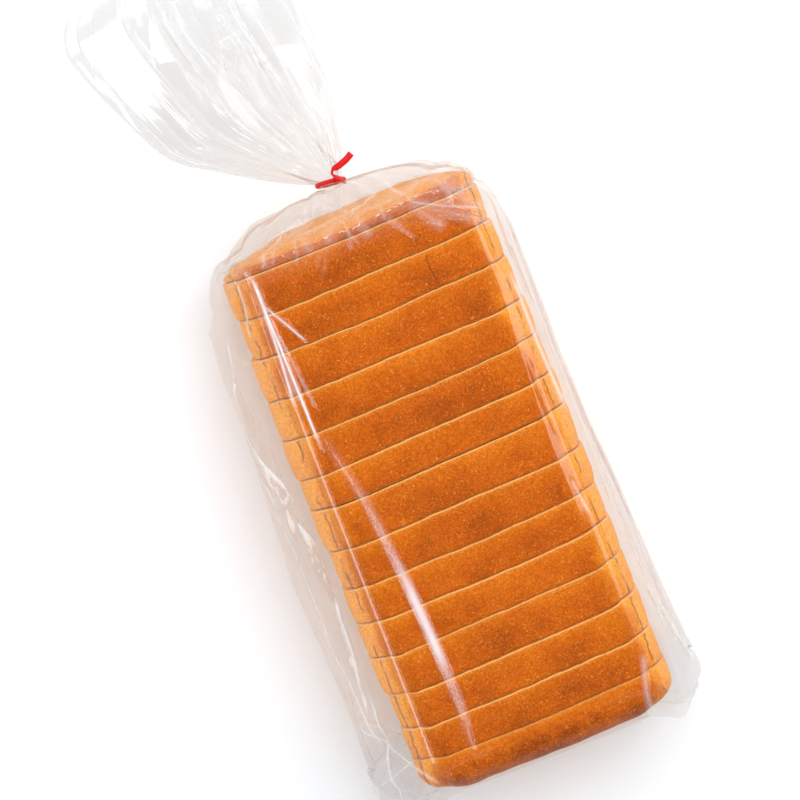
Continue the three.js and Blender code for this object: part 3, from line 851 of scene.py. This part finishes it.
def tail_grid():
    """The rings of the tail in mm: over the upper layer to the right, and back under."""
    left_edge = smooth_path(TAIL_LEFT, TAIL_RINGS)
    right_edge = smooth_path(TAIL_RIGHT, TAIL_RINGS)
    rng = random.Random(5)
    even = numpy.linspace(-1, 1, TAIL_ACROSS)
    across = numpy.concatenate([-even, even])
    layer = numpy.concatenate([-numpy.ones_like(even), numpy.ones_like(even)])
    wide, middle, narrow = (
        numpy.concatenate([pleats(side, count, rng) for side in (-even, even)], axis=1) for count in PLEATS)
    rings, white, folded = [], [], []
    for ring in range(TAIL_RINGS):
        s = ring / (TAIL_RINGS - 1)
        share = ((across + 1) / 2)[:, None]
        plan = left_edge[ring] * (1 - share) + right_edge[ring] * share
        half = 4.6 + 1.6 * math.sin(s * math.pi)
        rounded = numpy.sqrt(numpy.clip(1 - across ** 2, 0, 1))
        open_out = min(1, s * 2)
        part_way = math.sin(math.pi * min(1, s * 1.45)) ** 0.8 if s < 0.69 else 0
        close_in = math.exp(-s * 5)
        z = NECK.z - TAIL_DROOP * s ** 2 + layer * half * rounded
        z += wide[0] * 5 * open_out + middle[0] * 2.4 * part_way + narrow[0] * 1.1 * close_in
        y = NECK.y + plan[:, 1] + MOUTH_WAVE * s ** 2 * numpy.cos(math.pi * (across - MOUTH_CREST))
        rings.append(numpy.stack([NECK.x + plan[:, 0], y, z], axis=1))
        # pleat edges are whitened, partly as film whitens at a fold and partly as painted highlight; the
        # mouth's rim is a painted light line
        white.append(0.3 * wide[1] * open_out + 0.3 * middle[1] * part_way + 0.3 * narrow[1] * close_in
                     + (0.3 if ring > TAIL_RINGS - 3 else 0) + 0.02)
        folded.append(0.17 + 0.22 * wide[2] * open_out + 0.18 * middle[2] * part_way)
    grid = numpy.array(rings)
    made = Creases(grid.shape[:2])
    place = numpy.broadcast_to(across * 50, made.rise.shape)
    along = numpy.broadcast_to(numpy.linspace(0, 105, TAIL_RINGS)[:, None], made.rise.shape)
    for _ in range(24):
        made.ridge(along, place, (rng.uniform(10, 100), rng.uniform(-46, 46)), rng.gauss(0, 14),
                   rng.uniform(12, 42), rng.uniform(4, 12), rng.uniform(-2.0, 2.4),
                   layer == rng.choice((-1, 1)), rng.uniform(0, 0.4))
    grid += outwards(grid) * made.rise[:, :, None]
    return grid, numpy.maximum(numpy.array(white), made.white), numpy.clip(numpy.array(folded), 0, 1)


film_piece("film_tail", *tail_grid())

# ---------------------------------------------------------------------------------------------
# The twist tie: a red paper ribbon, up to 3 mm wide, over a soft steel wire. It is wound once round
# the neck of the bag and its ends are twisted together, one left long and the other short.
# ---------------------------------------------------------------------------------------------
TIE_RIDGE = 0.42
TIE_PAPER = 0.13
WRAP_WIDTH = 1.8
WRAP_GAP = 1.1
SHORT_WIDTH = 2.2
LONG_STEPS = 34
SHORT_STEPS = 26
# the knot, off the middle of the neck, and the routes of the two ends, off the knot
KNOT = (3.4, 2.6, 6.1)
LONG_END = ((0.9, -1.4, -0.2), (-0.9, 0.2, 1.4), (-0.9, 2.9, 3.2), (3.0, 4.1, 4.3), (6.3, 5.2, 5.0),
            (9.6, 7.0, 5.2))
SHORT_END = ((-1.2, 0.5, 1.5), (0.2, -0.8, 1.6), (1.3, -1.9, 0.9), (2.0, -2.6, -0.6), (2.4, -3.1, -2.2))


def ribbon(name, places, normals, widths, material):
    """A paper ribbon along a path: flat, with the wire as a low ridge down its middle, in mm."""
    across = (-1, -0.55, -0.2, 0, 0.2, 0.55, 1)
    relief = (0, 0, 0.75, 1, 0.75, 0, 0)
    section = [(u, TIE_PAPER + TIE_RIDGE * r) for u, r in zip(across, relief)]
    section += [(u, -TIE_PAPER - TIE_RIDGE * r) for u, r in reversed(list(zip(across, relief)))]
    places = numpy.array(places)
    ahead = numpy.gradient(places, axis=0)
    ahead /= numpy.linalg.norm(ahead, axis=1, keepdims=True)
    normals = numpy.array(normals) - ahead * numpy.sum(numpy.array(normals) * ahead, axis=1, keepdims=True)
    normals /= numpy.linalg.norm(normals, axis=1, keepdims=True)
    sideways = numpy.cross(ahead, normals)
    grid = numpy.array([[place + side * u * width / 2 + normal * r for u, r in section]
                        for place, side, normal, width in zip(places, sideways, normals, widths)])
    bm = bmesh.new()
    bmesh.ops.create_grid(bm, x_segments=len(section), y_segments=len(places) - 1, size=1)
    layer = bm.verts.layers.float.new("over_wire")
    closed = numpy.concatenate([grid, grid[:, :1]], axis=1).reshape(-1, 3) * MM
    ridges = [1 - min(1, abs(u) * 3) for u, r in section]
    for v, place, share in zip(bm.verts, closed.tolist(), (ridges + ridges[:1]) * len(places)):
        v.co = place
        v[layer] = share
    bmesh.ops.remove_doubles(bm, verts=bm.verts, dist=0.01 * MM)
    bmesh.ops.holes_fill(bm, edges=[e for e in bm.edges if e.is_boundary])
    bmesh.ops.recalc_face_normals(bm, faces=bm.faces)
    piece = piece_from(bm, name, (material,))
    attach(piece, "root")
    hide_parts("twist_tie")


def red_paper():
    """Red waxed paper ribbon: slightly glossy and fibrous, and paler along its middle, over the wire. The
    fibres are drawn about ten times as coarse as real, so that they show."""
    material, tree = new_material("red_waxed_paper_ribbon")
    place = add(tree, "TexCoord").outputs["Object"]
    over_wire = add(tree, "Attribute", attribute_name="over_wire").outputs["Fac"]
    pulp = add(tree, "TexNoise", {"Vector": place, "Scale": 1 / (1.11 * MM), "Detail": 3.0})
    fibrous = add(tree, "MapRange", {0: pulp, 1: 0.3, 2: 0.7, 3: 0.0, 4: 0.6}, **SOFT)
    shade = add(tree, "Math", {0: over_wire, 1: 0.4, 2: fibrous}, operation="MULTIPLY_ADD")
    colour = add(tree, "ValToRGB", {0: shade}, stops=((0.0, "#B80812"), (0.5, "#D60D1A"), (1.0, "#E8262E")))
    bump = add(tree, "Bump", {"Height": pulp, "Strength": 0.5, "Distance": 0.12 * MM})
    shader = add(tree, "BsdfPrincipled", {"Base Color": colour, "Roughness": 0.38,
                                          "Specular IOR Level": 0.5, "Normal": bump})
    add(tree, "OutputMaterial", {"Surface": shader})
    return material


tie_red = red_paper()
round_neck = numpy.linspace(0, 2 * math.pi, 61) + math.radians(52)
wrap = [(NECK.x + (NECK_HALF[0] + WRAP_GAP) * math.cos(a), NECK.y + 1.7 + 0.77 * math.sin(a - 1.2),
         NECK.z + (NECK_HALF[1] + WRAP_GAP) * math.sin(a)) for a in round_neck]
facing_out = [(math.cos(a), 0, math.sin(a)) for a in round_neck]
ribbon("tie_wrap", wrap, facing_out, [WRAP_WIDTH] * len(wrap), tie_red)

# each end is a quarter to half turn twisted where it leaves the knot, and flat further on
knot = numpy.array(NECK) + KNOT
along_end = numpy.linspace(0, 1, LONG_STEPS)
long_turn = 2.6 * (1 - along_end) ** 2
long_faces = numpy.stack([numpy.sin(long_turn), numpy.full(LONG_STEPS, -0.3), numpy.cos(long_turn)],
                         axis=1)
long_widths = 2.0 + numpy.minimum(1, along_end * 2.4)
ribbon("tie_long_end", smooth_path(LONG_END + knot, LONG_STEPS), long_faces, long_widths, tie_red)
short_turn = 2.4 * (1 - numpy.linspace(0, 1, SHORT_STEPS))
short_faces = numpy.stack([numpy.cos(short_turn), numpy.full(SHORT_STEPS, 0.2),
                           numpy.sin(short_turn) + 0.2], axis=1)
short_widths = [SHORT_WIDTH] * SHORT_STEPS
ribbon("tie_short_end", smooth_path(SHORT_END + knot, SHORT_STEPS), short_faces, short_widths, tie_red)

# ---------------------------------------------------------------------------------------------
# The studio: a white sweep under a large soft panel, with a weaker one on each side, and a long strip
# and a small box beside the camera, which draw the long streaks on the film. The left streak is also a
# painted highlight along its facet.
# ---------------------------------------------------------------------------------------------
FLOOR_HALF = 3
floor_mesh = bpy.data.meshes.new("floor")
floor_bm = bmesh.new()
bmesh.ops.create_grid(floor_bm, x_segments=1, y_segments=1, size=FLOOR_HALF)
floor_bm.to_mesh(floor_mesh)
floor_bm.free()
floor = bpy.data.objects.new("floor", floor_mesh)
bpy.context.scene.collection.objects.link(floor)
# seamless white card: matt, so it gives a soft shadow and no reflection
white_sweep, sweep_tree = new_material("white_paper_sweep")
sweep_shader = add(sweep_tree, "BsdfPrincipled", {"Base Color": linear("#F0F6FB"), "Roughness": 0.9,
                                                  "Specular IOR Level": 0.1})
add(sweep_tree, "OutputMaterial", {"Surface": sweep_shader})
floor_mesh.materials.append(white_sweep)


def softbox(name, place, aim, width, length, power):
    """A rectangular area light at a place, facing the point it aims at, its length level."""
    light = bpy.data.lights.new(name, "AREA")
    light.shape = "RECTANGLE"
    light.size = length
    light.size_y = width
    light.energy = power
    box = bpy.data.objects.new(name, light)
    facing = (Vector(aim) - Vector(place)).to_track_quat("-Z", "Y").to_matrix().to_4x4()
    box.matrix_world = Matrix.Translation(place) @ facing
    bpy.context.scene.collection.objects.link(box)
    return box


LOAF_CENTRE = (0, 0, 60 * MM)
TAIL_CENTRE = (0, 0.15, 60 * MM)
ceiling = softbox("ceiling_panel", (0.3, 0.25, 1.7), LOAF_CENTRE, width=1.7, length=1.7, power=30)
ceiling.visible_glossy = False
softbox("right_panel", (1.3, 0.3, 0.8), LOAF_CENTRE, width=0.7, length=1.0, power=5)
softbox("left_panel", (-1.3, 0.2, 0.7), LOAF_CENTRE, width=0.5, length=1.2, power=6.5)
softbox("left_strip", (-0.75, 0.0, 1.0), LOAF_CENTRE, width=0.14, length=1.0, power=0.8)
softbox("right_box", (0.75, 0.02, 0.95), LOAF_CENTRE, width=0.20, length=0.40, power=0.55)
softbox("back_strip", (0.4, 1.1, 0.9), TAIL_CENTRE, width=0.14, length=0.9, power=3.0)

world = bpy.data.worlds.new("studio")
bpy.context.scene.world = world
world.use_nodes = True
world_tree = world.node_tree
world_tree.nodes.clear()
heading = add(world_tree, "TexCoord").outputs["Generated"]
upwards = add(world_tree, "SeparateXYZ", {"Vector": heading}).outputs["Z"]
# the walls are white and the ceiling is dark, so the level film on top stays clear
glow = add(world_tree, "MapRange", {0: upwards, 1: 0.3, 2: 0.95, 3: 0.55, 4: 0.04}, **SOFT)
background = add(world_tree, "Background", {"Color": linear("#FFFFFF"), "Strength": glow})
add(world_tree, "OutputWorld", {"Surface": background})
bpy.context.scene.view_settings.view_transform = "Standard"

CAMERA_HEIGHT = 1.35
VIEW_TURN = math.radians(21.3)
VIEW_WIDTH = 339.6 * MM
SENSOR_WIDTH = 36
camera_data = bpy.data.cameras.new("camera")
camera = bpy.data.objects.new("camera", camera_data)
camera.location = (-7.6 * MM, 37.9 * MM, LOAF_TOP + CAMERA_HEIGHT)
camera.rotation_euler = (0, 0, -VIEW_TURN)
camera_data.sensor_width = SENSOR_WIDTH
camera_data.lens = SENSOR_WIDTH * CAMERA_HEIGHT / VIEW_WIDTH
bpy.context.scene.collection.objects.link(camera)
bpy.context.scene.camera = camera
